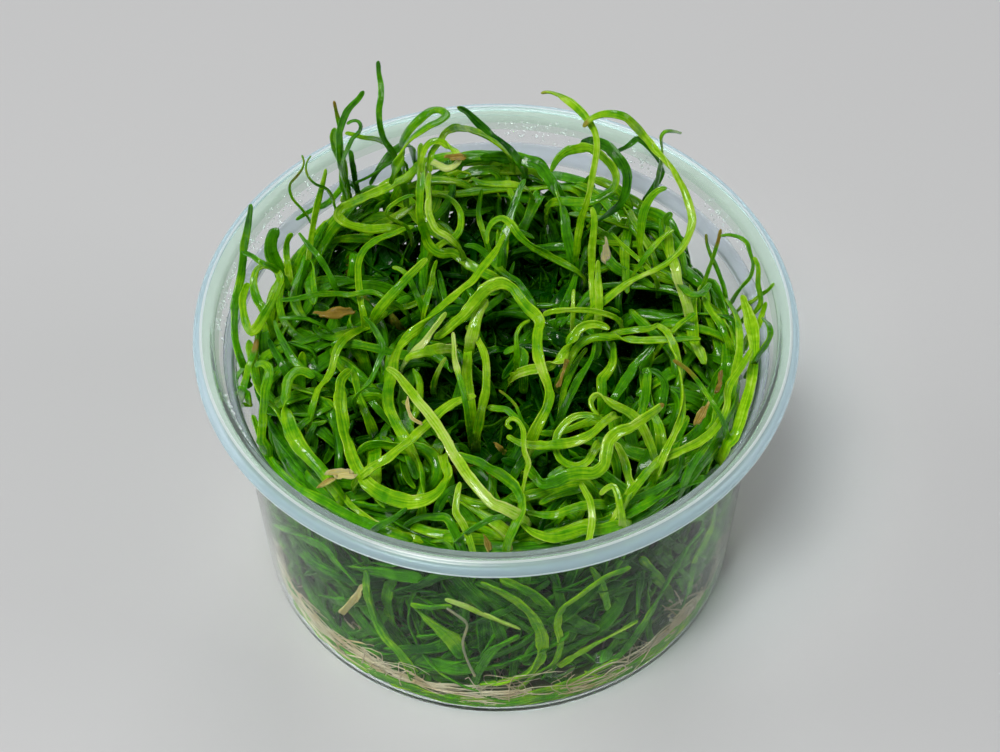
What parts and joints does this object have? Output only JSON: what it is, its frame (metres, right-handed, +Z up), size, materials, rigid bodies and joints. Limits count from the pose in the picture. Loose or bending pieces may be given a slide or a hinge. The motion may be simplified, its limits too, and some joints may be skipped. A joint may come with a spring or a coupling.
{
  "type": "potted aquarium plant",
  "caption": "Clear plastic culture cup, open at the top, packed with tangled ribbon leaves of a young lilaeopsis over a mat of pale roots, some leaves curling above the rim.",
  "frame": {"origin": "on the surface the cup stands on, at the middle of its base", "axes": "+Z up, the cup's axis of turning; -Y is the side seen in the picture"},
  "size_m": [0.082, 0.082, 0.0721],
  "materials": {
    "clear_plastic": "clear, slightly hazy moulded plastic with a milky rim",
    "roots": "damp pale root fibres",
    "leaf_mass": "damp deep green leaf",
    "leaf": "wet glossy bright green leaf with fine lengthwise veins",
    "dry_leaf": "bleached or dried tan leaf"
  },
  "bodies": {
    "root": {"bleached_base": "dry_leaf", "cup": "clear_plastic", "dry_stalk": "dry_leaf", "leaf_back_arc": "leaf", "leaf_back_broad": "leaf", "leaf_back_ladder": "leaf", "leaf_back_lean": "leaf", "leaf_broad_fold": "leaf", "leaf_c_leaf": "leaf", "leaf_centre_arch": "leaf", "leaf_centre_blade": "leaf", "leaf_centre_ring": "leaf", "leaf_centre_strap": "leaf", "leaf_circle_curl": "leaf", "leaf_crossing_blade": "leaf", "leaf_curled_hook": "leaf", "leaf_dark_arch": "leaf", "leaf_dark_tip": "leaf", "leaf_falling_leaf": "leaf", "leaf_folded_loop": "leaf", "leaf_front_post": "leaf", "leaf_front_sweep": "leaf", "leaf_front_wall_sweep": "leaf", "leaf_glossy_tip": "leaf", "leaf_left_bend": "leaf", "leaf_left_hook": "leaf", "leaf_left_loop": "leaf", "leaf_left_rail": "leaf", "leaf_left_upright": "leaf", "leaf_light_arch": "leaf", "leaf_lime_knot": "leaf", "leaf_long_blade": "leaf", "leaf_long_sweep": "leaf", "leaf_low_arc": "leaf", "leaf_main_stem": "leaf", "leaf_olive_tip": "leaf", "leaf_pale_broad": "leaf", "leaf_pale_tongue": "leaf", "leaf_pale_upright": "leaf", "leaf_right_blade": "leaf", "leaf_right_broad": "leaf", "leaf_right_hook": "leaf", "leaf_right_long": "leaf", "leaf_right_post": "leaf", "leaf_right_rail": "leaf", "leaf_ring_curl": "leaf", "leaf_s_leaf": "leaf", "leaf_small_curl": "leaf", "leaf_sprig_left": "leaf", "leaf_sprig_right": "leaf", "leaf_strap_twin": "leaf", "leaf_tall_arc_one": "leaf", "leaf_tall_arc_two": "leaf", "leaf_tall_tip": "leaf", "leaf_tangle": "leaf_mass", "leaf_through_curl": "leaf", "leaf_wall_arc": "leaf", "leaf_wall_ribbon": "leaf", "leaf_wall_sweep": "leaf", "root_mat": "roots"}
  },
  "joints": []
}
